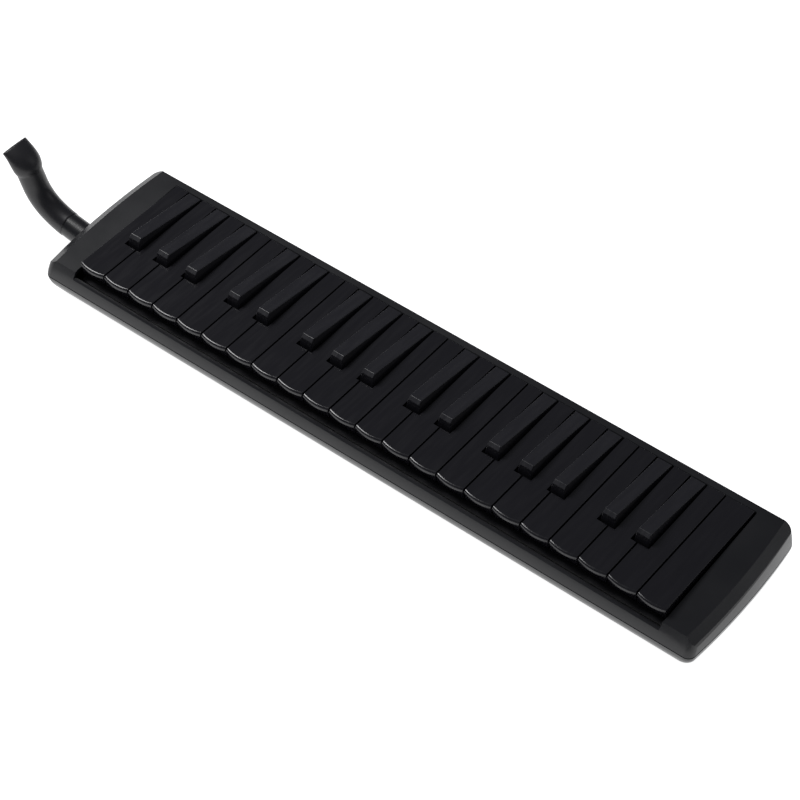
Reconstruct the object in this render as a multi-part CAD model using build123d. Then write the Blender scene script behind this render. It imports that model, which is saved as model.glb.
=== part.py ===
from build123d import *

import math
import os

# A 37-key melodica. Millimetres. The origin is the centre of the plane that the rubber feet stand on.
# +X runs along the keyboard to the treble end, +Y to the back, +Z up.

# Keyboard
white_count = 22
key_pitch = 18.8
key_gap = 1.0
key_wall = 1.4
key_plate = 2.4
key_lip_radius = 1.6
key_edge_radius = 0.22
key_top_z = 31.0
white_front_y = -41.5
white_front_bulge = 1.5
white_skirt_setback = 1.0
key_rear_y = 43.0
head_rear_y = -13.5
head_skirt_z = 22.0
stem_skirt_z = 24.0
black_front_gap = 1.2
black_width = 10.6
black_rise = 6.7
black_rear_rise = 0.3
black_taper = 6.0
black_nose = 1.9
black_edge_radius = 0.5
black_side_gap = 0.5
black_offsets = {0: -3.2, 1: 0.0, 2: 3.2, 4: -1.5, 5: 1.5}

# Key mechanism
pivot_y = 22.0
pivot_z = 20.5
rod_radius = 1.25
running_clearance = 0.05
boss_radius = 3.0
boss_width = 5.0
web_width = 3.0
web_front_y = 6.0
web_front_z = 25.0
web_flat_y = 10.0
tail_setback = 1.0
pad_holder_width = 7.0
pad_length = 10.8
pad_thickness = 2.5
pad_holder_thickness = 1.2
white_travel = 4.1
black_travel = 5.0
spring_strip = 0.4
spring_width = 3.0

# Casing
end_panel_width = 24.2
front_rail_width = 4.5
front_key_room = 4.5
back_rail_width = 7.5
end_arc_radius = 468.0
corner_radius = 4.8
corner_growth = 0.6
case_wall = 2.2
case_floor = 2.0
underside_z = 1.0
parting_z = 15.0
parting_bevel = 0.4
under_reach = 12.7
upper_draft_height = 16.0
upper_swell = 1.4
front_draft = 8.8
back_draft = 2.6
end_draft = 2.2
panel_back_z = 30.4
panel_tilt = 2.87
bevel_width = 6.8
bevel_run_per_rise = 1.59
bevel_edge_width = 3.3
bevel_edge_run_per_rise = 0.55
slot_edge = 0.35
rail_edge = 0.45
case_screw_inset = 5.2
case_screw_from_back = 17.5
slot_side_gap = 0.5
slot_rear_gap = 0.6
rail_top_z = 22.3

# Air chamber, reeds and valves
chamber_setback = 1.0
chamber_front_margin = 7.0
chamber_wall = 2.0
chamber_chamfer = 4.5
chamber_top_z = 12.0
gasket_thickness = 0.5
cover_thickness = 3.5
cell_setback = 3.0
cell_width = 6.0
cell_depth = 2.0
valve_length = 7.5
valve_width = 4.0
reed_plate_thickness = 0.9
reed_thickness = 0.3
reed_width = 3.0
reed_slot_clearance = 0.1
longest_reed = 22.5
shortest_reed = 13.0
rivet_radius = 0.7
screw_clearance = 0.05

# Mouthpiece and its socket
socket_y = -11.5
socket_reach = 13.5
ring_z = 16.5
socket_tilt = 10.0
socket_radius = 7.7
socket_bore_radius = 6.2
socket_hole_clearance = 0.3
duct_width = 15.2
air_bore_radius = 5.4
plug_length = 12.0
plug_clearance = 0.1
tube_radius = 8.0
tube_path = (("arc", 45.0, 30.0), ("arc", 27.0, 68.0), ("line", 9.0, 68.0))
mouth_bore_radius = 4.2
beak_length = 18.0
beak_rise = 50.0

# Underside
recess_half_length = 84.0
recess_front_y = -35.5
recess_rear_y = -7.5
recess_top_z = 13.2
strap_width = 24.0
strap_thickness = 2.0
strap_half_length = 100.0
strap_bottom_z = 2.8
strap_y = -21.5
foot_radius = 5.0
foot_recess = 0.8
foot_from_slot_end = 12.3
foot_from_back = 19.5

# Values that follow from those above
keyboard_half = white_count * key_pitch / 2
slot_half = keyboard_half + slot_side_gap
chamber_half_length = slot_half
slot_rear_y = key_rear_y + slot_rear_gap
case_half_length = slot_half + end_panel_width
rail_inner_y = white_front_y - front_key_room
case_front_y = rail_inner_y - front_rail_width
case_back_y = key_rear_y + back_rail_width
case_screw_x = slot_half + case_screw_inset
case_screw_y = case_back_y - case_screw_from_back
foot_x = slot_half - foot_from_slot_end
foot_y = case_back_y - foot_from_back
ring_x = -case_half_length - socket_reach
duct_left_x = -slot_half - duct_width
tail_rear_y = key_rear_y - tail_setback
pad_rear_y = tail_rear_y - key_wall
pad_front_y = pad_rear_y - pad_length
chamber_rear_y = key_rear_y - chamber_setback
cell_rear_y = chamber_rear_y - cell_setback
reed_root_y = cell_rear_y - 3.0
cell_front_y = reed_root_y - 3.5 - longest_reed
chamber_front_y = cell_front_y - chamber_front_margin
guide_rear_y = chamber_front_y - 2.0
black_felt_rear_y = guide_rear_y - 7.0
valve_front_y = cell_rear_y - valve_length
notch_half = black_width / 2 + black_side_gap
black_front_y = head_rear_y + black_front_gap
cover_bottom_z = chamber_top_z + gasket_thickness
cover_top_z = cover_bottom_z + cover_thickness
pad_top_z = cover_top_z + pad_thickness
inner_floor_z = underside_z + case_floor
recess_roof_z = recess_top_z + case_floor
comb_front_y = pivot_y - 8.5
comb_rear_y = pivot_y + 7.0
comb_top_z = cover_top_z + 1.3
white_xs = [(i + 0.5) * key_pitch - keyboard_half for i in range(white_count)]


def block(x0, x1, y0, y1, z0, z1):
    """A box between two corners."""
    centre = Pos((x0 + x1) / 2, (y0 + y1) / 2, (z0 + z1) / 2)
    return centre * Box(x1 - x0, y1 - y0, z1 - z0)


def rod_x(x0, x1, y, z, radius):
    return Pos((x0 + x1) / 2, y, z) * Rot(0, 90, 0) * Cylinder(radius, x1 - x0)


def rod_y(x, y0, y1, z, radius):
    return Pos(x, (y0 + y1) / 2, z) * Rot(90, 0, 0) * Cylinder(radius, y1 - y0)


def rod_z(x, y, z0, z1, radius):
    return Pos(x, y, (z0 + z1) / 2) * Cylinder(radius, z1 - z0)


def side_profile(points, x, width):
    """A plate of the given width about x, from (y, z) points."""
    face = Plane.YZ * make_face(Polyline(*points, close=True))
    return Pos(x, 0, 0) * extrude(face, amount=width / 2, both=True)


def write(node, *solids):
    """Each node is one STEP file, which may hold several separate solids."""
    shape = solids[0] if len(solids) == 1 else Compound(children=list(solids))
    export_step(shape, os.path.join("parts", node + ".step"))


# ---- Keyboard layout ----


def black_x(i):
    """Centre of the black key to the right of white key i, or None where there isn't one."""
    if i < 0 or i >= white_count - 1 or i % 7 not in black_offsets:
        return None
    return (i + 1) * key_pitch - keyboard_half + black_offsets[i % 7]


def stem_limits(i):
    """Left and right edge of the narrow rear part of white key i."""
    left = white_xs[i] - key_pitch / 2 + key_gap / 2
    right = white_xs[i] + key_pitch / 2 - key_gap / 2
    if black_x(i - 1) is not None:
        left = max(left, black_x(i - 1) + notch_half)
    if black_x(i) is not None:
        right = min(right, black_x(i) - notch_half)
    return left, right


def lever_positions():
    """Every lever from bass to treble, as (x, "white" or "black", index)."""
    levers = []
    for i in range(white_count):
        left, right = stem_limits(i)
        levers.append(((left + right) / 2, "white", i))
        if black_x(i) is not None:
            levers.append((black_x(i), "black", i))
    return levers


levers = lever_positions()
lever_xs = [x for x, kind, i in levers]
land_xs = [(a + b) / 2 for a, b in zip(lever_xs, lever_xs[1:])]


# ---- Keys ----


def white_outline(i, inset):
    """Plan of white key i, pulled in by inset on every side."""
    head_left = white_xs[i] - key_pitch / 2 + key_gap / 2 + inset
    head_right = white_xs[i] + key_pitch / 2 - key_gap / 2 - inset
    left, right = stem_limits(i)
    left += inset
    right -= inset
    front = white_front_y + inset
    rear = key_rear_y - inset
    shoulder = head_rear_y - inset
    middle = ((head_left + head_right) / 2, front - white_front_bulge)
    corners = [(head_right, front)]
    if right < head_right:
        corners += [(head_right, shoulder), (right, shoulder)]
    corners += [(right, rear), (left, rear)]
    if left > head_left:
        corners += [(left, shoulder), (head_left, shoulder)]
    corners += [(head_left, front)]
    return make_face(ThreePointArc((head_left, front), middle, (head_right, front)) + Polyline(*corners))


def soften_white(body):
    """Rolls the front lip over, then takes the sharp edge off the sides and the front corners."""
    body = fillet(body.faces().sort_by(Axis.Z)[-1].edges().sort_by(Axis.Y)[0], key_lip_radius)
    sides = body.faces().sort_by(Axis.Z)[-1].edges().sort_by(Axis.Y)[1:]
    limit = white_front_y + key_lip_radius + 0.5
    corners = [
        edge
        for edge in body.edges()
        if max((edge @ 0).Y, (edge @ 1).Y) < limit and abs((edge @ 0).X - (edge @ 1).X) < 0.01
    ]
    return fillet(list(sides) + corners, key_edge_radius)


def lever(x):
    """Web, pivot boss and pad holder under every key, with the rod's hole."""
    underside = key_top_z - key_plate + 0.5
    web = side_profile(
        [
            (web_front_y, underside),
            (web_front_y, web_front_z),
            (web_flat_y, web_front_z),
            (pivot_y - boss_radius, pivot_z),
            (pivot_y - boss_radius, pad_top_z),
            (tail_rear_y, pad_top_z),
            (tail_rear_y, underside),
        ],
        x,
        web_width,
    )
    boss = rod_x(x - boss_width / 2, x + boss_width / 2, pivot_y, pivot_z, boss_radius)
    holder = block(
        x - pad_holder_width / 2,
        x + pad_holder_width / 2,
        pad_front_y,
        pad_rear_y,
        pad_top_z,
        pad_top_z + pad_holder_thickness,
    )
    hole = rod_x(x - boss_width, x + boss_width, pivot_y, pivot_z, rod_radius + running_clearance)
    return web + boss + holder - hole


def pad(x):
    """Felt and leather pad that closes the valve slot."""
    half = pad_holder_width / 2
    return block(x - half, x + half, pad_front_y, pad_rear_y, cover_top_z, pad_top_z)


def white_key(i, x):
    body = extrude(Pos(0, 0, head_skirt_z) * white_outline(i, 0), amount=key_top_z - head_skirt_z)
    body -= block(
        white_xs[i] - key_pitch,
        white_xs[i] + key_pitch,
        head_rear_y,
        key_rear_y + key_pitch,
        head_skirt_z,
        stem_skirt_z,
    )
    body = soften_white(body)
    left = white_xs[i] - key_pitch
    right = white_xs[i] + key_pitch
    skirt_front_y = white_front_y + white_skirt_setback
    plate_bottom = key_top_z - key_plate
    body -= block(left, right, skirt_front_y - key_pitch, skirt_front_y, head_skirt_z, plate_bottom)
    pocket = extrude(Pos(0, 0, head_skirt_z) * white_outline(i, key_wall), amount=plate_bottom - head_skirt_z)
    pocket &= block(left, right, skirt_front_y + key_wall, key_rear_y, head_skirt_z, plate_bottom)
    return body - pocket + lever(x)


def black_key(x):
    length = key_rear_y - black_front_y
    middle_y = (key_rear_y + black_front_y) / 2
    foot = Pos(x, middle_y, stem_skirt_z) * Rectangle(black_width, length)
    top_front_z = key_top_z + black_rise
    top_rear_z = key_top_z + black_rear_rise
    body = extrude(foot, amount=top_front_z - stem_skirt_z + 2, taper=black_taper)
    slope = (top_rear_z - top_front_z) / length
    front_y = black_front_y - length
    rear_y = key_rear_y + length
    sky = top_front_z + length
    body -= side_profile(
        [
            (front_y, top_front_z - slope * length),
            (rear_y, top_rear_z + slope * length),
            (rear_y, sky),
            (front_y, sky),
        ],
        x,
        2 * black_width,
    )
    body = chamfer(body.faces().sort_by(Axis.Z)[-1].edges().sort_by(Axis.Y)[0], black_nose)
    exposed = [
        edge
        for edge in body.edges()
        if min((edge @ 0).Y, (edge @ 1).Y) < key_rear_y - 1
        and max((edge @ 0).Z, (edge @ 1).Z) > stem_skirt_z + 1
    ]
    body = fillet(exposed, black_edge_radius)
    pocket = Pos(x, middle_y, stem_skirt_z) * Rectangle(black_width - 2 * key_wall, length - 2 * key_wall)
    body -= extrude(pocket, amount=key_top_z - key_plate - stem_skirt_z, taper=black_taper)
    return body + lever(x)


# ---- Rod, comb, springs, guides ----


def pivot_rod():
    half = keyboard_half - key_gap
    return rod_x(-half, half, pivot_y, pivot_z, rod_radius)


ear_half_width = 0.8
ear_half_length = 2.8
end_ear_inset = 1.5
comb_screw_radius = 1.0
comb_screw_y = pivot_y + 5.0
comb_screw_xs = land_xs[1::4]


def ear_positions():
    first = -keyboard_half + end_ear_inset
    return [first] + land_xs + [-first]


def key_comb():
    """Moulded bar on the chamber cover, with an ear between every two keys."""
    half = keyboard_half
    bar = block(-half, half, comb_front_y, comb_rear_y, cover_top_z, comb_top_z)
    front = pivot_y - ear_half_length
    rear = pivot_y + ear_half_length
    for x in ear_positions():
        bar += block(x - ear_half_width, x + ear_half_width, front, rear, cover_top_z, pivot_z + boss_radius)
    bar -= rod_x(-half, half, pivot_y, pivot_z, rod_radius + running_clearance)
    for x in comb_screw_xs:
        bar -= rod_z(x, comb_screw_y, cover_top_z, comb_top_z, comb_screw_radius + screw_clearance)
    return bar


spring_clip_y = pivot_y - 3.4
spring_bend_y = pivot_y - 8.0
spring_tip_length = 2.5
spring_gap = 0.1


def key_spring(x):
    """Flat steel strip, fixed to the comb and bearing up under the key in front of the rod."""
    tip_z = web_front_z - spring_strip - spring_gap
    lower = [
        (spring_clip_y, comb_top_z),
        (spring_bend_y, comb_top_z),
        (web_front_y + spring_tip_length, tip_z),
        (web_front_y, tip_z),
    ]
    upper = [(y, z + spring_strip) for y, z in reversed(lower)]
    return side_profile(lower + upper, x, spring_width)


guide_base = 1.0
felt_thickness = 1.4
felt_gap = 0.15
white_felt_length = 5.5
guide_tongue_setback = 11.5
guide_tongue_length = 2.0
white_tongue_gap = 0.3
black_tongue_gap = 0.6
white_tongue_reach = 2.0
black_tongue_reach = 1.6


def drop_at(y, z, degrees):
    """Height of a key's point (y, z) once the key has turned down by this angle."""
    angle = math.radians(degrees)
    return pivot_z + (y - pivot_y) * math.sin(angle) + (z - pivot_z) * math.cos(angle)


white_felt_top = drop_at(white_front_y + white_skirt_setback, head_skirt_z, white_travel) - felt_gap
black_felt_top = drop_at(black_front_y, stem_skirt_z, black_travel) - felt_gap


def guide_frame():
    """Flat moulding under the key fronts: a tongue up inside every key, and ledges for the felts."""
    half = keyboard_half
    base_top = recess_roof_z + guide_base
    bar = block(-half, half, white_front_y, guide_rear_y, recess_roof_z, base_top)
    bar += block(-half, half, black_front_y, black_felt_rear_y, base_top, black_felt_top - felt_thickness)
    tongue = key_pitch / 2 - key_gap / 2 - key_wall - white_tongue_gap
    tongue_y = white_front_y + guide_tongue_setback
    for x in white_xs:
        top = head_skirt_z + white_tongue_reach
        bar += block(x - tongue, x + tongue, tongue_y, tongue_y + guide_tongue_length, base_top, top)
    narrow = black_width / 2 - key_wall - black_tongue_gap
    rear = guide_rear_y - guide_tongue_length
    front = rear - guide_tongue_length
    for x, kind, i in levers:
        if kind == "black":
            bar += block(x - narrow, x + narrow, front, rear, base_top, stem_skirt_z + black_tongue_reach)
    return bar


def white_stop_felt():
    half = keyboard_half
    rear = white_front_y + white_felt_length
    return block(-half, half, white_front_y, rear, recess_roof_z + guide_base, white_felt_top)


def black_stop_felt():
    half = keyboard_half
    bottom = black_felt_top - felt_thickness
    return block(-half, half, black_front_y, black_felt_rear_y, bottom, black_felt_top)


# ---- Casing ----


def case_outline(half, front, back, corner):
    """Straight front and back, ends that bow outwards, and rounded corners."""
    middle = (front + back) / 2
    reach = (back - front) / 2
    end = half - (end_arc_radius - math.sqrt(end_arc_radius**2 - reach**2))
    edges = Polyline((-end, front), (end, front))
    edges += ThreePointArc((end, front), (half, middle), (end, back))
    edges += Polyline((end, back), (-end, back))
    edges += ThreePointArc((-end, back), (-half, middle), (-end, front))
    face = make_face(edges)
    return fillet(face.vertices(), corner) if corner else face


def on_panel(shape, inset):
    """Puts a shape drawn about z = 0 onto the panels' tilted plane, this far below it."""
    centre_z = panel_back_z - inset - (case_back_y - back_draft) * math.tan(math.radians(panel_tilt))
    return Pos(0, 0, centre_z) * Rot(panel_tilt, 0, 0) * shape


def crown(inset):
    """Tilted block whose top is the panels' plane. Its ends are the bevels, with a second, steeper bevel."""
    depth = 45.0
    reach = 1.6 * case_back_y
    body = None
    bevels = ((bevel_width, bevel_run_per_rise), (bevel_edge_width, bevel_edge_run_per_rise))
    for width, run_per_rise in bevels:
        half = case_half_length - width - inset
        top = case_outline(half, -reach, reach, 0)
        low = case_outline(half + depth * run_per_rise, -reach, reach, 0)
        wedge = loft([Pos(0, 0, -depth) * low, top], ruled=True)
        body = wedge if body is None else body & wedge
    return on_panel(body, inset)


def slot_edge_cutter():
    """Takes the sharp edge off the panels and the back rail where the slot cuts them."""
    rear = slot_rear_y / math.cos(math.radians(panel_tilt))
    lower = Pos(0, 0, -slot_edge) * Rectangle(2 * slot_half, 2 * rear)
    return on_panel(extrude(lower, amount=key_pitch, taper=-45), 0)


def rail_edge_cutter():
    """Takes the sharp outer edge off the top of the front rail."""
    share = (rail_top_z - parting_z) / upper_draft_height
    edge_y = case_front_y + front_draft * share**upper_swell
    return side_profile(
        [
            (edge_y + rail_edge, rail_top_z),
            (edge_y - front_rail_width, rail_top_z - rail_edge - front_rail_width),
            (edge_y - front_rail_width, rail_top_z + 1),
            (edge_y + rail_edge, rail_top_z + 1),
        ],
        0,
        2 * slot_half,
    )


def upper_form(inset):
    """Walls that start upright at the parting line and lean in further and further, cut by the crown."""
    sections = []
    for step in range(5):
        share = step / 4
        lean = share**upper_swell
        outline = case_outline(
            case_half_length - inset - end_draft * lean,
            case_front_y + inset + front_draft * lean,
            case_back_y - inset - back_draft * lean,
            corner_radius - inset,
        )
        sections.append(Pos(0, 0, parting_z + upper_draft_height * share) * outline)
    return loft(sections) & crown(inset)


def lower_form(inset, rise):
    """Tub whose walls roll under in a quarter ellipse from the parting line to its flat underside."""
    reach = under_reach - inset
    height = parting_z - underside_z - rise
    sections = []
    for step in range(7):
        angle = math.radians(90 * step / 6)
        roll = inset + reach * (1 - math.cos(angle))
        outline = case_outline(
            case_half_length - roll,
            case_front_y + roll,
            case_back_y - roll,
            corner_radius - inset + corner_growth * reach * (1 - math.cos(angle)),
        )
        sections.append(Pos(0, 0, parting_z - height * math.sin(angle)) * outline)
    return loft(sections)


def parting_cone(side):
    """Cone at 45 degrees that takes the sharp edge off the rim. side is -1 for the tub and 1 for the top."""
    sections = []
    for z, inset in ((parting_z, parting_bevel), (parting_z + side * key_top_z, parting_bevel - key_top_z)):
        outline = case_outline(
            case_half_length - inset, case_front_y + inset, case_back_y - inset, corner_radius - inset
        )
        sections.append(Pos(0, 0, z) * outline)
    return loft(sections, ruled=True)


def socket_place(along):
    """Point on the socket's axis, this far outside the ring where the mouthpiece meets it, as (x, z)."""
    tilt = math.radians(socket_tilt)
    return ring_x - along * math.cos(tilt), ring_z + along * math.sin(tilt)


def socket_height(x):
    """Height of the socket's axis at this x."""
    return ring_z - (x - ring_x) * math.tan(math.radians(socket_tilt))


def socket_rod(inner, outer, radius):
    x, z = socket_place((inner + outer) / 2)
    return Pos(x, socket_y, z) * Rot(0, socket_tilt - 90, 0) * Cylinder(radius, outer - inner)


def socket_hole():
    return socket_rod(duct_left_x - 1 + ring_x, 5, socket_radius + socket_hole_clearance) & block(
        ring_x, duct_left_x, -case_back_y, case_back_y, 0, panel_back_z
    )


upper_post_radius = 3.6
lower_post_radius = 4.2
case_screw_radius = 1.3
case_screw_head_radius = 2.7
case_screw_head = 2.2
case_screw_seat_z = 9.0
case_screw_tip_z = 23.0
strap_screw_radius = 1.2
strap_screw_head = 0.9
strap_screw_head_radius = 2.5
strap_screw_length = 6.5
strap_screw_x = strap_half_length - 6.5
rib_front_y = white_front_y + 0.5
rib_xs = (recess_half_length + 31.0, recess_half_length + 66.0, foot_x - 5.0)


def case_screw_places():
    return [(x, y) for x in (-case_screw_x, case_screw_x) for y in (-case_screw_y, case_screw_y)]


def upper_case():
    body = (upper_form(0) & parting_cone(1)) - upper_form(case_wall)
    posts = [rod_z(x, y, parting_z, key_top_z, upper_post_radius) for x, y in case_screw_places()]
    for post in posts:
        body += post & upper_form(case_wall / 2)
    body -= block(-slot_half, slot_half, rail_inner_y, slot_rear_y, parting_z - 5, key_top_z + 10)
    body -= block(-slot_half, slot_half, case_front_y - 5, rail_inner_y + 1, rail_top_z, key_top_z + 10)
    body -= slot_edge_cutter()
    body -= rail_edge_cutter()
    for x, y in case_screw_places():
        body -= rod_z(x, y, parting_z, case_screw_tip_z, case_screw_radius + screw_clearance)
    return body - socket_hole()


def lower_case():
    body = (lower_form(0, 0) & parting_cone(-1)) - lower_form(case_wall, case_floor)
    # Hand recess, pushed up into the tub, with a shallower pocket at each end for the strap
    x = recess_half_length
    wall = case_floor
    outer = x + wall
    body += block(-outer, outer, recess_front_y - wall, recess_rear_y + wall, underside_z, recess_roof_z)
    body -= block(-x, x, recess_front_y, recess_rear_y, 0, recess_top_z)
    strap_top = strap_bottom_z + strap_thickness
    front = strap_y - strap_width / 2 - 0.5
    rear = strap_y + strap_width / 2 + 0.5
    for side in (-1, 1):
        near, far = sorted((side * x, side * (strap_half_length + 0.5)))
        body += block(near - wall, far + wall, front - wall, rear + wall, underside_z, strap_top + wall)
    body -= block(-x, x, recess_front_y, recess_rear_y, 0, recess_top_z)
    for side in (-1, 1):
        near, far = sorted((side * x, side * (strap_half_length + 0.5)))
        body -= block(near - 0.01, far + 0.01, front, rear, 0, strap_top)
    for px, py in strap_screw_places():
        body += rod_z(px, py, strap_top, recess_roof_z - 3, 3.0)
        body -= rod_z(px, py, strap_top - 1, recess_roof_z - 4, strap_screw_radius + screw_clearance)
    for rib_x in rib_xs:
        rib = block(rib_x - 1, rib_x + 1, rib_front_y, recess_rear_y - 0.5, underside_z + 1, recess_roof_z)
        body += rib + Pos(-2 * rib_x, 0, 0) * rib
    for px, py in case_screw_places():
        body += rod_z(px, py, underside_z + 1, parting_z, lower_post_radius)
        body -= rod_z(px, py, underside_z - 1, case_screw_seat_z, case_screw_head_radius + 0.3)
        body -= rod_z(px, py, case_screw_seat_z - 1, parting_z + 1, case_screw_radius + 0.4)
    for px, py in foot_places():
        body -= rod_z(px, py, underside_z - 1, underside_z + foot_recess, foot_radius)
    body -= rod_y(drain_x, chamber_rear_y + 1, case_back_y + 1, drain_z, button_radius + button_gap)
    return body - socket_hole()


def foot_places():
    return [(0, 0)] + [(x, y) for x in (-foot_x, foot_x) for y in (-foot_y, foot_y)]


def strap_screw_places():
    return [(x, y) for x in (-strap_screw_x, strap_screw_x) for y in (strap_y - 7, strap_y + 7)]


def screw(x, y, head_bottom, head_height, head_radius, shank_radius, length, up):
    """A round-headed screw along Z. up is 1 where the shank rises from the head, -1 where it goes down."""
    head_top = head_bottom + head_height
    head = rod_z(x, y, head_bottom, head_top, head_radius)
    if up > 0:
        shank = rod_z(x, y, head_top, head_top + length, shank_radius)
        slot = block(x - head_radius, x + head_radius, y - 0.3, y + 0.3, head_bottom, head_bottom + 0.5)
    else:
        shank = rod_z(x, y, head_bottom - length, head_bottom, shank_radius)
        slot = block(x - head_radius, x + head_radius, y - 0.3, y + 0.3, head_top - 0.5, head_top)
    return head + shank - slot


# ---- Air chamber and reeds ----


cover_screw_radius = 1.0
cover_screw_post_radius = 2.2
cover_screw_depth = 6.0
comb_pilot_radius = 0.9
comb_pilot_depth = 2.6
plate_screw_radius = 0.8
plate_screw_depth = 2.4


def air_chamber():
    half = chamber_half_length
    body = block(-half, half, chamber_front_y, chamber_rear_y, inner_floor_z, chamber_top_z)
    body -= block(
        -half + chamber_wall,
        half - chamber_wall,
        chamber_front_y + chamber_wall,
        chamber_rear_y - chamber_wall,
        inner_floor_z + chamber_wall,
        chamber_top_z,
    )
    body = chamfer(
        body.edges().filter_by(Axis.X).filter_by_position(Axis.Z, inner_floor_z - 0.1, inner_floor_z + 0.1)
        .sort_by(Axis.Y)[-1],
        chamber_chamfer,
    )
    for x in cover_screw_xs:
        body += rod_z(x, cover_screw_y, inner_floor_z, chamber_top_z, cover_screw_post_radius)
        bottom = chamber_top_z - cover_screw_depth
        body -= rod_z(x, cover_screw_y, bottom, chamber_top_z, cover_screw_radius + screw_clearance)
    body -= block(-half - 1, -half + 3, duct_port[0], duct_port[1], duct_port[2], duct_port[3])
    return body - rod_y(drain_x, chamber_rear_y - 3, chamber_rear_y + 1, drain_z, drain_hole_radius)


cover_screw_pitch = 60.0
cover_screws_each_side = int((chamber_half_length - 20.0) // cover_screw_pitch)
cover_screw_xs = [cover_screw_pitch * n for n in range(-cover_screws_each_side, cover_screws_each_side + 1)]
cover_screw_y = chamber_front_y + 3.8
duct_port = (chamber_front_y + 4.0, chamber_front_y + 14.0, 6.4, 11.0)
drain_x = land_xs[-2]
drain_z = 9.0
drain_hole_radius = 1.7
button_radius = 3.4
button_gap = 0.2


def chamber_gasket():
    """Soft ring between the chamber's rim and its cover."""
    half = chamber_half_length
    ring = block(-half, half, chamber_front_y, chamber_rear_y, chamber_top_z, cover_bottom_z)
    ring -= block(
        -half + chamber_wall,
        half - chamber_wall,
        cell_front_y - 1,
        chamber_rear_y - chamber_wall,
        chamber_top_z,
        cover_bottom_z,
    )
    for x in cover_screw_xs:
        ring -= rod_z(x, cover_screw_y, chamber_top_z, cover_bottom_z, cover_screw_radius + screw_clearance)
    return ring


def chamber_cover():
    """Lid with a cell over every reed and a valve slot at the cell's rear end."""
    half = chamber_half_length
    body = block(-half, half, chamber_front_y, chamber_rear_y, cover_bottom_z, cover_top_z)
    for x in lever_xs:
        body -= block(
            x - cell_width / 2,
            x + cell_width / 2,
            cell_front_y,
            cell_rear_y,
            cover_bottom_z,
            cover_bottom_z + cell_depth,
        )
        body -= block(
            x - valve_width / 2, x + valve_width / 2, valve_front_y, cell_rear_y, cover_bottom_z, cover_top_z
        )
    for x in cover_screw_xs:
        body -= rod_z(x, cover_screw_y, cover_bottom_z, cover_top_z, cover_screw_radius + screw_clearance)
    for x in comb_screw_xs:
        bottom = cover_top_z - comb_pilot_depth
        body -= rod_z(x, comb_screw_y, bottom, cover_top_z, comb_pilot_radius + screw_clearance)
    for x in plate_screw_xs:
        for y in plate_screw_ys:
            top = cover_bottom_z + plate_screw_depth
            body -= rod_z(x, y, cover_bottom_z, top, plate_screw_radius + screw_clearance)
    return body


plate_front_y = cell_front_y - 0.8
plate_rear_y = chamber_rear_y - chamber_wall - 0.2
plate_split = land_xs[18]
plate_screw_xs = land_xs[3:16:4] + land_xs[21:34:4]
plate_screw_ys = (cell_front_y + 2.0, cell_rear_y - 2.0)


def reed_length(n):
    share = n / (len(levers) - 1)
    return longest_reed + (shortest_reed - longest_reed) * share


def reed_plate(x0, x1):
    """Brass plate with a slot for each reed, screwed up under the cover."""
    z0 = cover_bottom_z - reed_plate_thickness
    body = block(x0, x1, plate_front_y, plate_rear_y, z0, cover_bottom_z)
    for n, x in enumerate(lever_xs):
        if x0 < x < x1:
            half = reed_width / 2 + reed_slot_clearance
            tip = reed_root_y - 3 - reed_length(n)
            slot_front = tip - reed_slot_clearance
            body -= block(x - half, x + half, slot_front, reed_root_y - 2.4, z0, cover_bottom_z)
            body -= rod_z(x, reed_root_y, z0, cover_bottom_z, rivet_radius + 0.02)
    for x in plate_screw_xs:
        for y in plate_screw_ys:
            if x0 < x < x1:
                body -= rod_z(x, y, z0, cover_bottom_z, plate_screw_radius + screw_clearance)
    return body


def reed(n, x):
    """Brass tongue under the plate, held by one rivet."""
    plate_bottom = cover_bottom_z - reed_plate_thickness
    half = reed_width / 2
    tip = reed_root_y - 3 - reed_length(n)
    tongue = block(x - half, x + half, tip, reed_root_y + 1.4, plate_bottom - reed_thickness, plate_bottom)
    rivet = rod_z(x, reed_root_y, plate_bottom - reed_thickness - 0.4, cover_bottom_z, rivet_radius)
    return tongue + rivet


# ---- Air duct, socket and mouthpiece ----

duct_right_x = -chamber_half_length
duct_front_y = -21.5
duct_rear_y = 20.0
duct_wall = 1.6
duct_bottom_z = 4.6
duct_lid = 1.4
duct_roof_gap = 0.82
panel_drop = (case_back_y - back_draft - duct_front_y) * math.tan(math.radians(panel_tilt))
duct_top_z = panel_back_z - case_wall - panel_drop - duct_roof_gap - duct_lid
flange_thickness = 1.6


def air_duct():
    """Box in the bass end that joins the socket to the chamber."""
    body = block(duct_left_x, duct_right_x, duct_front_y, duct_rear_y, duct_bottom_z, duct_top_z)
    body -= block(
        duct_left_x + duct_wall,
        duct_right_x - duct_wall,
        duct_front_y + duct_wall,
        duct_rear_y - duct_wall,
        duct_bottom_z + duct_wall,
        duct_top_z,
    )
    hole_z = socket_height(duct_left_x)
    body -= rod_x(duct_left_x - 1, duct_left_x + 3, socket_y, hole_z, air_bore_radius)
    return body - block(
        duct_right_x - 3, duct_right_x + 1, duct_port[0], duct_port[1], duct_port[2], duct_port[3]
    )


def duct_lid_plate():
    return block(duct_left_x, duct_right_x, duct_front_y, duct_rear_y, duct_top_z, duct_top_z + duct_lid)


def casing_walls():
    """The casings' end walls where the socket passes them, with a small gap added inside."""
    upper = upper_form(0) - upper_form(case_wall + wall_gap)
    lower = lower_form(0, 0) - lower_form(case_wall + wall_gap, case_floor)
    return (upper + lower) & block(ring_x, duct_right_x, -case_back_y, case_back_y, 0, key_top_z)


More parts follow.
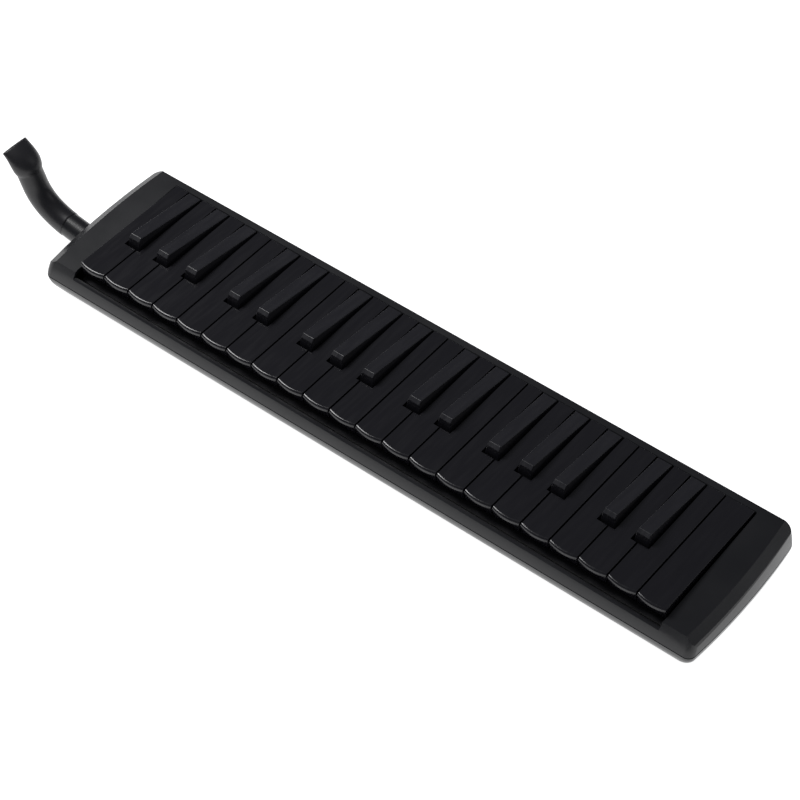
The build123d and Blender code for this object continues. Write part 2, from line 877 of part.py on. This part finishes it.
def mouthpiece_socket():
    """Nozzle clamped between the two casings, with a half flange behind the wall."""
    inner = ring_x - seal_x0 - socket_radius
    tube = socket_rod(inner, 0, socket_radius)
    flange_z = socket_height(flange_x)
    flange = rod_x(flange_x, flange_x + flange_thickness, socket_y, flange_z, socket_radius + flange_height)
    flange &= block(
        flange_x, seal_x0, -case_back_y, case_back_y, flange_z - socket_radius / 2, panel_back_z
    )
    body = tube + (flange - casing_walls()) - socket_rod(-plug_length - 1, 0, socket_bore_radius)
    body -= socket_rod(inner - 5, 0, air_bore_radius)
    return body & block(ring_x - socket_radius, seal_x0, -case_back_y, case_back_y, 0, panel_back_z)


flange_height = 0.9
wall_gap = 0.12
seal_thickness = 1.5
seal_x0 = duct_left_x - seal_thickness
flange_x = seal_x0 - 3.2


def socket_seal():
    seal_z = socket_height(duct_left_x)
    ring = rod_x(seal_x0, duct_left_x, socket_y, seal_z, socket_radius - 0.3)
    return ring - casing_walls() - rod_x(seal_x0, duct_left_x, socket_y, seal_z, air_bore_radius)


def mouth_path():
    """The tube's centre line in the (x, z) plane: pieces as (kind, start, middle, end), and its far end."""
    path = []
    place = (ring_x, ring_z)
    heading = socket_tilt
    for kind, size, turn_to in tube_path:
        h0 = math.radians(heading)
        h1 = math.radians(turn_to)
        hm = (h0 + h1) / 2
        if kind == "line":
            middle = None
            end = (place[0] - size * math.cos(h0), place[1] + size * math.sin(h0))
        else:
            middle = (
                place[0] - size * (math.sin(hm) - math.sin(h0)),
                place[1] + size * (math.cos(h0) - math.cos(hm)),
            )
            end = (
                place[0] - size * (math.sin(h1) - math.sin(h0)),
                place[1] + size * (math.cos(h0) - math.cos(h1)),
            )
        path.append((kind, place, middle, end))
        place = end
        heading = turn_to
    return path, place


def at(point):
    return Vector(point[0], socket_y, point[1])


def beak_section(neck, along, heading, half_width, half_height, lift):
    """Ellipse across the beak, this far along it: wide in Y and thin in the bending plane."""
    way = math.radians(beak_rise)
    h = math.radians(heading)
    x = neck[0] - along * math.cos(way) + lift * math.sin(h)
    z = neck[1] + along * math.sin(way) + lift * math.cos(h)
    plane = Plane(origin=Vector(x, socket_y, z), x_dir=(0, 1, 0), z_dir=(-math.cos(h), 0, math.sin(h)))
    return plane * Ellipse(half_width, half_height)


def mouthpiece():
    """Plug, curved tube and a flat beak, thick at its root, with a slot for the breath."""
    path, neck = mouth_path()
    wire = None
    for kind, a, middle, b in path:
        piece = Line(at(a), at(b)) if kind == "line" else ThreePointArc(at(a), at(middle), at(b))
        wire = piece if wire is None else wire + piece
    tilt = math.radians(socket_tilt)
    start = Plane(origin=at(path[0][1]), z_dir=(-math.cos(tilt), 0, math.sin(tilt)))
    tube = sweep(start * Circle(tube_radius), path=wire)
    beak = loft(
        [
            beak_section(neck, -1.0, 68.0, tube_radius - 0.6, tube_radius - 0.6, 0.0),
            beak_section(neck, 3.5, 60.0, 9.4, 7.8, 1.6),
            beak_section(neck, 9.0, 52.0, 9.9, 6.4, 2.3),
            beak_section(neck, beak_length, 46.0, 9.6, 3.4, 1.1),
        ]
    )
    slot = loft(
        [
            beak_section(neck, -1.0, 68.0, mouth_bore_radius, mouth_bore_radius, 0.0),
            beak_section(neck, 9.0, 52.0, 6.4, 3.2, 1.6),
            beak_section(neck, beak_length + 1.0, 46.0, 7.8, 2.1, 1.1),
        ]
    )
    plug = socket_rod(-plug_length, 0, socket_bore_radius - plug_clearance)
    bore = sweep(start * Circle(mouth_bore_radius), path=wire)
    bore += socket_rod(-plug_length, 0, mouth_bore_radius)
    return tube + beak + plug - bore - slot


# ---- Drain valve ----

button_front_y = chamber_rear_y + 3.6
button_proud = 1.0
stem_radius = 1.0
seal_radius = 2.2


def drain_button():
    """Push button with a stem into the chamber. The seal disc on the stem's end keeps it in."""
    button = rod_y(drain_x, button_front_y, case_back_y + button_proud, drain_z, button_radius)
    button = fillet(button.edges().sort_by(Axis.Y)[-1], 0.6)
    return button + rod_y(drain_x, seal_front_y, button_front_y, drain_z, stem_radius)


seal_rear_y = chamber_rear_y - chamber_wall
seal_front_y = seal_rear_y - 1.2


def drain_seal():
    disc = rod_y(drain_x, seal_front_y, seal_rear_y, drain_z, seal_radius)
    return disc - rod_y(drain_x, seal_front_y, seal_rear_y, drain_z, stem_radius)


def drain_spring():
    wire_radius = 0.2
    height = button_front_y - chamber_rear_y - 2 * wire_radius - 0.1
    helix = Helix(pitch=height / 3, height=height, radius=2.4)
    start = Plane(origin=helix @ 0, z_dir=helix % 0)
    coil = sweep(start * Circle(wire_radius), path=helix, is_frenet=True)
    return Pos(drain_x, chamber_rear_y + wire_radius + 0.05, drain_z) * Rot(-90, 0, 0) * coil


# ---- Hand strap ----


def hand_strap():
    half = strap_half_length
    top = strap_bottom_z + strap_thickness
    y0 = strap_y - strap_width / 2
    band = block(-half, half, y0, y0 + strap_width, strap_bottom_z, top)
    for x, y in strap_screw_places():
        band -= rod_z(x, y, strap_bottom_z, top, strap_screw_radius + 0.4)
    return band


def strap_clip(side):
    near, far = sorted((side * (recess_half_length + 2.0), side * strap_half_length))
    y0 = strap_y - strap_width / 2
    plate = block(near, far, y0, y0 + strap_width, underside_z, strap_bottom_z)
    for x, y in strap_screw_places():
        if near < x < far:
            plate -= rod_z(x, y, underside_z, underside_z + 1.0, strap_screw_head_radius + 0.1)
            plate -= rod_z(x, y, underside_z, strap_bottom_z, strap_screw_radius + screw_clearance)
    return plate


def foot(x, y):
    return rod_z(x, y, 0, underside_z + foot_recess, foot_radius)


# ---- Write every node ----

os.makedirs("parts", exist_ok=True)

white_number = 0
black_number = 0
for x, kind, i in levers:
    if kind == "white":
        white_number += 1
        write("white_key_%02d" % white_number, white_key(i, x), pad(x))
    else:
        black_number += 1
        write("black_key_%02d" % black_number, black_key(x), pad(x))

write("pivot_rod", pivot_rod())
write("key_comb", key_comb())
write("key_springs", *[key_spring(x) for x in lever_xs])
write("guide_frame", guide_frame())
write("stop_felts", white_stop_felt(), black_stop_felt())
write("upper_case", upper_case())
write("lower_case", lower_case())
write("air_chamber", air_chamber())
write("chamber_gasket", chamber_gasket())
write("chamber_cover", chamber_cover())
write(
    "reed_plates",
    reed_plate(-chamber_half_length + chamber_wall + 0.3, plate_split - 0.3),
    reed_plate(plate_split + 0.3, chamber_half_length - chamber_wall - 0.3),
)
write("reeds", *[reed(n, x) for n, x in enumerate(lever_xs)])
plate_bottom_z = cover_bottom_z - reed_plate_thickness
plate_screw_head = 0.8
write(
    "chamber_screws",
    *[
        screw(x, y, plate_bottom_z - plate_screw_head, plate_screw_head, 1.5, plate_screw_radius, 3.0, 1)
        for x in plate_screw_xs
        for y in plate_screw_ys
    ],
    *[screw(x, cover_screw_y, cover_top_z, 1.2, 1.9, cover_screw_radius, 9.0, -1) for x in cover_screw_xs],
    *[screw(x, comb_screw_y, comb_top_z, 1.0, 1.7, comb_pilot_radius, 3.6, -1) for x in comb_screw_xs],
)
write("air_duct", air_duct(), duct_lid_plate())
write("mouthpiece_socket", mouthpiece_socket())
write("socket_seal", socket_seal())
write("mouthpiece", mouthpiece())
write("drain_button", drain_button(), drain_seal())
write("drain_spring", drain_spring())
write("hand_strap", hand_strap())
write("strap_clips", strap_clip(-1), strap_clip(1))
write(
    "case_screws",
    *[
        screw(
            x,
            y,
            case_screw_seat_z - case_screw_head,
            case_screw_head,
            case_screw_head_radius,
            case_screw_radius,
            case_screw_tip_z - case_screw_seat_z - 2.0,
            1,
        )
        for x, y in case_screw_places()
    ],
    *[
        screw(
            x,
            y,
            underside_z,
            strap_screw_head,
            strap_screw_head_radius,
            strap_screw_radius,
            strap_screw_length,
            1,
        )
        for x, y in strap_screw_places()
    ],
)
write("feet", *[foot(x, y) for x, y in foot_places()])
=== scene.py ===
import math

import bmesh
import bpy
from mathutils import Matrix, Vector


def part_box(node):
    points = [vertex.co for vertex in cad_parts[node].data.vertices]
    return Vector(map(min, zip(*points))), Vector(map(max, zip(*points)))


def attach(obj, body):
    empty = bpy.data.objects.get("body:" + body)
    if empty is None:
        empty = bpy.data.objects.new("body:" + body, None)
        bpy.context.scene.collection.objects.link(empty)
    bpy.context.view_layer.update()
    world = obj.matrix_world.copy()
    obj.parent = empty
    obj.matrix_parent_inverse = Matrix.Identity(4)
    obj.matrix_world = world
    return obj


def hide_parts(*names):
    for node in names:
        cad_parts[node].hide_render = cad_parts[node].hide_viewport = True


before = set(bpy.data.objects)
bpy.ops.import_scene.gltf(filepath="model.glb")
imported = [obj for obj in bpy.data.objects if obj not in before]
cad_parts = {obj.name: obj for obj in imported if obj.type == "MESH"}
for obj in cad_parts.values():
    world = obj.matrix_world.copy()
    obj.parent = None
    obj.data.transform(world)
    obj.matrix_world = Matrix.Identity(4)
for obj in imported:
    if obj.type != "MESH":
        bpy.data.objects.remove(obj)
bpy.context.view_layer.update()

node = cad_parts

# ---- Camera ----
# A long lens above the treble end and in front of the keyboard, as for a catalogue picture.
# It looks down at the keys from about 1.4 metres away, so they hardly narrow towards the bass end.

camera_place = (0.5832, -0.7399, 1.0443)
camera_tilt_down = 47.5
camera_turn = 38.29
focal_length_mm = 111.4
sensor_width_mm = 36
camera = bpy.data.objects.new("camera", bpy.data.cameras.new("camera"))
bpy.context.scene.collection.objects.link(camera)
camera.location = camera_place
camera.rotation_euler = (math.radians(90 - camera_tilt_down), 0, math.radians(camera_turn))
camera.data.lens = focal_length_mm
camera.data.sensor_width = sensor_width_mm
bpy.context.scene.camera = camera

# ---- Casing ----
# Two injection-moulded black ABS shells, screwed together along a line round the middle of the case.
# The tool is spark-eroded, which leaves a fine, even grain that takes the gloss off the plastic.


class Tone:
    """One output of a material's nodes. Arithmetic on a tone adds Math nodes to its tree."""

    def __init__(self, tree, socket=None):
        self.tree = tree
        self.socket = socket

    def add(self, kind, settings=None, inputs=None, output=0):
        """Adds a node: its settings first, then its inputs, each a number, a colour or another tone."""
        made = self.tree.nodes.new(kind)
        for name, value in (settings or {}).items():
            setattr(made, name, value)
        for name, value in (inputs or {}).items():
            if isinstance(value, Tone):
                self.tree.links.new(value.socket, made.inputs[name])
            else:
                made.inputs[name].default_value = value
        return Tone(self.tree, made.outputs[output])

    def maths(self, operation, *values):
        return self.add("ShaderNodeMath", {"operation": operation}, dict(enumerate(values)))

    def __add__(self, other):
        return self.maths("ADD", self, other)

    def __sub__(self, other):
        return self.maths("SUBTRACT", self, other)

    def __mul__(self, other):
        return self.maths("MULTIPLY", self, other)

    def step(self, low, high):
        """0 below low, 1 above high, and smooth between them."""
        inputs = {"Value": self, "From Min": low, "From Max": high}
        return self.add("ShaderNodeMapRange", {"interpolation_type": "SMOOTHSTEP"}, inputs)

    def noise(self, scale, detail=2.0, stretch=(1, 1, 1)):
        """Noise on these coordinates, with this many features to the metre."""
        place = self.add("ShaderNodeMapping", inputs={"Vector": self, "Scale": stretch})
        return self.add("ShaderNodeTexNoise", inputs={"Vector": place, "Scale": scale, "Detail": detail})

    def blend(self, low, high):
        """A colour between two others, each a colour or a tone."""
        settings = {"data_type": "RGBA"}
        inputs = {0: self, 6: low, 7: high}
        return self.add("ShaderNodeMix", settings, inputs, output=2)

    def bump(self, height, strength):
        """A normal from this height, in metres for a tone that runs from 0 to 1."""
        inputs = {"Height": self, "Distance": height, "Strength": strength}
        return self.add("ShaderNodeBump", inputs=inputs)


class Finish:
    """A material with its shader, and the object coordinates that its patterns are drawn on."""

    def __init__(self, name, **constants):
        self.material = bpy.data.materials.new(name)
        self.material.use_nodes = True
        self.tree = self.material.node_tree
        self.shader = self.tree.nodes["Principled BSDF"]
        self.place = Tone(self.tree).add("ShaderNodeTexCoord", output="Object")
        for socket, value in constants.items():
            self.shader.inputs[socket.replace("_", " ")].default_value = value

    def set(self, **tones):
        for socket, tone in tones.items():
            self.tree.links.new(tone.socket, self.shader.inputs[socket.replace("_", " ")])
        return self

    def height_above(self, low, high):
        """0 below low and 1 above high, along Z."""
        parts = self.place.add("ShaderNodeSeparateXYZ", inputs={"Vector": self.place}, output=2)
        return parts.step(low, high)


def moulded(name, dark, light, gloss, dull, grain, depth, specular=0.5):
    """Grained plastic: fine pits from the mould, and broad cloudy differences in gloss from handling.

    The roughness runs from gloss to dull. grain is the number of pits to the metre, and depth is how
    deep they are, in metres.
    """
    clouds_per_metre = 18
    pit_roughness = 0.04
    finish = Finish(name, Specular_IOR_Level=specular)
    handling = finish.place.noise(clouds_per_metre, detail=4)
    pits = finish.place.noise(grain, detail=2)
    finish.set(
        Base_Color=handling.blend(dark, light),
        Roughness=handling.step(0.3, 0.7) * (dull - gloss) + gloss + pits * pit_roughness,
        Normal=pits.bump(depth, strength=0.5),
    )
    return finish.material


def dress(material, *names):
    """Gives CAD nodes their material."""
    for name in names:
        mesh = node[name].data
        mesh.materials.clear()
        mesh.materials.append(material)


shell_black = moulded(
    "shell_black",
    dark=(0.0052, 0.0054, 0.0068, 1),
    light=(0.0072, 0.0074, 0.0092, 1),
    gloss=0.27,
    dull=0.36,
    grain=2600,
    depth=0.00002,
)
dress(shell_black, "upper_case", "drain_button", "strap_clips", "mouthpiece_socket")
tub_black = moulded(
    "tub_black",
    dark=(0.0062, 0.0064, 0.0078, 1),
    light=(0.0085, 0.0087, 0.0104, 1),
    gloss=0.15,
    dull=0.22,
    grain=2600,
    depth=0.00001,
)
dress(tub_black, "lower_case")

# ---- White-note keys ----
# Moulded in the same black plastic, but in a polished tool, so their tops are smoother than the case.
# A felt and leather pad is glued under each tail. Fingers leave faint lengthwise rubs on the tops.


def key_finish(name, dark, light, gloss, dull):
    """Black plastic above the top of the pad, and pale felt below it."""
    pad_top = 0.0185
    half_glue_line = 0.00001
    felt_roughness = 0.95
    finish = Finish(name)
    rubs = finish.place.noise(60, detail=5, stretch=(6, 0.7, 1))
    grain = finish.place.noise(3200, detail=1)
    wool = finish.place.noise(2500, detail=6)
    plastic = finish.height_above(pad_top - half_glue_line, pad_top + half_glue_line)
    felt = wool.blend((0.19, 0.155, 0.11, 1), (0.42, 0.36, 0.28, 1))
    black = rubs.blend(dark, light)
    finish.set(
        Base_Color=plastic.blend(felt, black),
        Roughness=plastic * (rubs.step(0.35, 0.7) * (dull - gloss) + gloss - felt_roughness) + felt_roughness,
        Normal=(plastic * (grain - wool) + wool).bump(0.00002, strength=0.25),
    )
    return finish.material


white_key_black = key_finish(
    "white_key_black",
    dark=(0.0058, 0.0055, 0.0075, 1),
    light=(0.0076, 0.0072, 0.0098, 1),
    gloss=0.2,
    dull=0.27,
)
dress(white_key_black, *[name for name in node if name.startswith("white_key")])

# ---- Black-note keys ----
# The same plastic with a matt top, which is why they look a little lighter than the keys beside them.
# Each has its own felt pad, like the keys on either side.

black_key_matt = key_finish(
    "black_key_matt",
    dark=(0.0095, 0.0093, 0.012, 1),
    light=(0.0125, 0.0122, 0.0158, 1),
    gloss=0.28,
    dull=0.38,
)
dress(black_key_matt, *[name for name in node if name.startswith("black_key")])

# ---- Inner mouldings ----
# Chamber, cover, duct and comb are plain dark grey ABS, left as they come from the tool. The guide
# frame is black, so that it doesn't show in the gaps round the keys.

inner_grey = moulded(
    "inner_grey",
    dark=(0.028, 0.028, 0.03, 1),
    light=(0.036, 0.036, 0.039, 1),
    gloss=0.4,
    dull=0.55,
    grain=1800,
    depth=0.00002,
)
dress(inner_grey, "air_chamber", "chamber_cover", "air_duct", "key_comb")
guide_black = moulded(
    "guide_black",
    dark=(0.005, 0.005, 0.006, 1),
    light=(0.007, 0.007, 0.008, 1),
    gloss=0.55,
    dull=0.65,
    grain=1800,
    depth=0.00002,
    specular=0.25,
)
dress(guide_black, "guide_frame")

# ---- Stop felts ----
# Strips of pressed wool felt, glued to the guide frame. They quieten the keys at the bottom of their
# travel, and lie out of sight beneath them.

felt = Finish("stop_felt", Specular_IOR_Level=0.1, Sheen_Weight=0.3)
wool = felt.place.noise(2200, detail=8)
tufts = felt.place.noise(260, detail=3)
felt.set(
    Base_Color=wool.blend((0.012, 0.012, 0.014, 1), (0.03, 0.03, 0.034, 1)),
    Roughness=tufts * 0.1 + 0.88,
    Normal=(wool * 0.7 + tufts * 0.3).bump(0.0003, strength=0.7),
)
dress(felt.material, "stop_felts")

# ---- Rubber ----
# Feet, chamber gasket and socket seal are soft black rubber. It has a slight bloom, which greys it
# in patches.

rubber = Finish("soft_rubber", Specular_IOR_Level=0.35)
bloom = rubber.place.noise(120, detail=5)
skin = rubber.place.noise(1800, detail=3)
rubber.set(
    Base_Color=bloom.blend((0.011, 0.011, 0.011, 1), (0.028, 0.028, 0.029, 1)),
    Roughness=bloom * 0.15 + 0.68,
    Normal=skin.bump(0.00006, strength=0.5),
)
dress(rubber.material, "chamber_gasket", "socket_seal")

# ---- Feet ----
# Five moulded rubber discs, glued into round recesses in the underside. Each has a rolled lower rim
# and a shallow dimple, so that it grips the table round its edge.

foot_radius = 0.005
foot_rim = 0.0006
foot_dimple = 0.0003
foot_sides = 48
feet_low, feet_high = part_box("feet")
foot_height = feet_high[2] - feet_low[2]
foot_x = feet_high[0] - foot_radius
foot_y = feet_high[1] - foot_radius


def new_piece(name, shape, material, smooth=None):
    """Turns a bmesh into an object. Only the given faces are shaded smooth, or all of them."""
    bmesh.ops.recalc_face_normals(shape, faces=shape.faces)
    for face in shape.faces if smooth is None else smooth:
        face.smooth = True
    mesh = bpy.data.meshes.new(name)
    shape.to_mesh(mesh)
    shape.free()
    mesh.materials.append(material)
    made = bpy.data.objects.new(name, mesh)
    bpy.context.scene.collection.objects.link(made)
    return made


def soften(shape, edges, width, segments):
    """Rounds edges and returns the new faces."""
    return bmesh.ops.bevel(
        shape,
        geom=edges,
        offset=width,
        offset_type="OFFSET",
        segments=segments,
        profile=0.5,
        affect="EDGES",
        material=-1,
    )["faces"]


shape = bmesh.new()
for x, y in [(0, 0)] + [(side * foot_x, end * foot_y) for side in (-1, 1) for end in (-1, 1)]:
    bmesh.ops.create_cone(
        shape,
        cap_ends=True,
        segments=foot_sides,
        radius1=foot_radius,
        radius2=foot_radius,
        depth=foot_height,
        matrix=Matrix.Translation((x, y, foot_height / 2)),
    )
rims = [edge for edge in shape.edges if all(vert.co.z < foot_dimple for vert in edge.verts)]
rolled = soften(shape, rims, foot_rim, segments=4)
soles = [
    face
    for face in shape.faces
    if face.calc_center_median().z < foot_dimple / 10 and len(face.verts) == foot_sides
]
bmesh.ops.inset_region(shape, faces=soles, thickness=foot_rim * 2, depth=-foot_dimple)
feet = new_piece("rubber_feet", shape, rubber.material, [face for face in rolled if face.is_valid])
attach(feet, "case")
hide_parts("feet")

# ---- Reeds and reed plates ----
# Rolled brass sheet, punched and then filed, so fine scratches run along the reeds. It tarnishes
# in dull brown patches.

brass = Finish("filed_brass", Metallic=1.0)
file_marks = brass.place.noise(900, detail=3, stretch=(4, 0.25, 1))
tarnish = brass.place.noise(70, detail=5)
brass.set(
    Base_Color=tarnish.step(0.35, 0.75).blend((0.74, 0.5, 0.2, 1), (0.5, 0.33, 0.14, 1)),
    Roughness=file_marks * 0.22 + tarnish * 0.12 + 0.16,
    Normal=file_marks.bump(0.00004, strength=0.4),
)
dress(brass.material, "reeds", "reed_plates")

# ---- Steel ----
# The rod and the springs are bright drawn steel, with fine marks along the rod. The screws are zinc
# plated, and share this finish.

steel = Finish("drawn_steel", Metallic=1.0)
draw_marks = steel.place.noise(1200, detail=3, stretch=(0.2, 3, 3))
patches = steel.place.noise(90, detail=4)
steel.set(
    Base_Color=patches.blend((0.46, 0.46, 0.47, 1), (0.62, 0.62, 0.62, 1)),
    Roughness=draw_marks * 0.2 + 0.2,
    Normal=draw_marks.bump(0.00002, strength=0.3),
)
dress(steel.material, "pivot_rod", "key_springs", "drain_spring", "chamber_screws", "case_screws")

# ---- Mouthpiece ----
# A curved tube in semi-gloss black plastic, moulded in one piece with its flat, flared beak. The tool
# blends the tube into the beak, so there is no crease between them.

tube_black = moulded(
    "tube_black",
    dark=(0.0078, 0.0076, 0.0095, 1),
    light=(0.0108, 0.0105, 0.013, 1),
    gloss=0.33,
    dull=0.41,
    grain=1500,
    depth=0.00001,
)
weld_distance = 0.000001
blend_cell = 0.00035
blend_passes = 20
shape = bmesh.new()
shape.from_mesh(node["mouthpiece"].data)
bmesh.ops.remove_doubles(shape, verts=shape.verts, dist=weld_distance)
moulded_tube = new_piece("moulded_mouthpiece", shape, tube_black)
tube_skin = moulded_tube.modifiers.new("skin", "REMESH")
tube_skin.mode = "VOXEL"
tube_skin.voxel_size = blend_cell
tube_skin.use_smooth_shade = True
blend = moulded_tube.modifiers.new("blend", "SMOOTH")
blend.factor = 0.5
blend.iterations = blend_passes
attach(moulded_tube, "mouthpiece")
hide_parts("mouthpiece")

# ---- Hand strap ----
# A flat strap of black synthetic leather, stitched along both edges. A screwed clip holds each end
# in the case, and the stitches stop where it starts.

leather = Finish("strap_leather", Specular_IOR_Level=0.4)
creases = leather.place.noise(700, detail=5)
leather.set(
    Base_Color=creases.blend((0.008, 0.008, 0.008, 1), (0.02, 0.019, 0.019, 1)),
    Roughness=creases * 0.2 + 0.45,
    Normal=creases.bump(0.00015, strength=0.6),
)
strap_edge = 0.0006
stitch_half_length = 0.0017
stitch_half_width = 0.00032
stitch_pitch = 0.0046
stitch_inset = 0.0024
clip_reach = 0.014
strap_low, strap_high = (Vector(corner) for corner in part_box("hand_strap"))
clip_inner_x = strap_high.x - clip_reach

shape = bmesh.new()
bmesh.ops.create_cube(shape, size=1)
bmesh.ops.scale(shape, vec=strap_high - strap_low, verts=shape.verts)
bmesh.ops.translate(shape, vec=(strap_low + strap_high) / 2, verts=shape.verts)
rounded = soften(shape, shape.edges[:], strap_edge, segments=3)
strap = new_piece("stitched_strap", shape, leather.material, rounded)
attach(strap, "case")
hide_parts("hand_strap")

thread = Finish("strap_thread", Specular_IOR_Level=0.3)
twist = thread.place.noise(4000, detail=3)
thread.set(
    Base_Color=twist.blend((0.02, 0.02, 0.02, 1), (0.06, 0.058, 0.055, 1)),
    Roughness=twist * 0.2 + 0.6,
    Normal=twist.bump(0.0001, strength=0.6),
)
shape = bmesh.new()
stitch_count = int(2 * clip_inner_x / stitch_pitch)
stitch_size = Matrix.Diagonal((stitch_half_length, stitch_half_width, stitch_half_width, 1))
for n in range(stitch_count):
    x = (n + 0.5 - stitch_count / 2) * stitch_pitch
    for y in (strap_low.y + stitch_inset, strap_high.y - stitch_inset):
        for z in (strap_low.z, strap_high.z):
            place = Matrix.Translation((x, y, z)) @ stitch_size
            bmesh.ops.create_uvsphere(shape, u_segments=8, v_segments=6, radius=1, matrix=place)
stitches = new_piece("strap_stitches", shape, thread.material)
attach(stitches, "case")

# ---- Floor and lights ----
# A white table under one large soft lamp at the left, and a weak one behind at the
# right.

floor_half_width = 20
floor_mesh = bpy.data.meshes.new("floor")
shape = bmesh.new()
bmesh.ops.create_grid(shape, x_segments=1, y_segments=1, size=floor_half_width)
shape.to_mesh(floor_mesh)
shape.free()
floor = bpy.data.objects.new("floor", floor_mesh)
bpy.context.scene.collection.objects.link(floor)
table = Finish(
    "white_table",
    Specular_IOR_Level=0.1,
    Base_Color=(0.5, 0.5, 0.5, 1),
    Roughness=0.9,
    Emission_Color=(1.0, 1.0, 1.0, 1),
    Emission_Strength=0.97,
)
floor_mesh.materials.append(table.material)


def lamp(name, place, aim, size, power):
    """A square soft lamp that points from its place to its aim."""
    light = bpy.data.lights.new(name, "AREA")
    light.energy = power
    light.size = size
    made = bpy.data.objects.new(name, light)
    bpy.context.scene.collection.objects.link(made)
    made.location = place
    made.rotation_euler = (Vector(aim) - Vector(place)).to_track_quat("-Z", "Y").to_euler()


lamp("left", place=(-1.25, -0.15, 1.65), aim=(0, 0, 0), size=0.8, power=30)
lamp("back_right", place=(1.15, 1.0, 1.35), aim=(0.2, 0, 0), size=0.9, power=1.5)

world = bpy.data.worlds.new("studio")
bpy.context.scene.world = world
world.use_nodes = True
sky = world.node_tree.nodes["Background"]
sky.inputs["Color"].default_value = (0.88, 0.9, 1.0, 1)
sky.inputs["Strength"].default_value = 0.16
bpy.context.scene.view_settings.view_transform = "Standard"
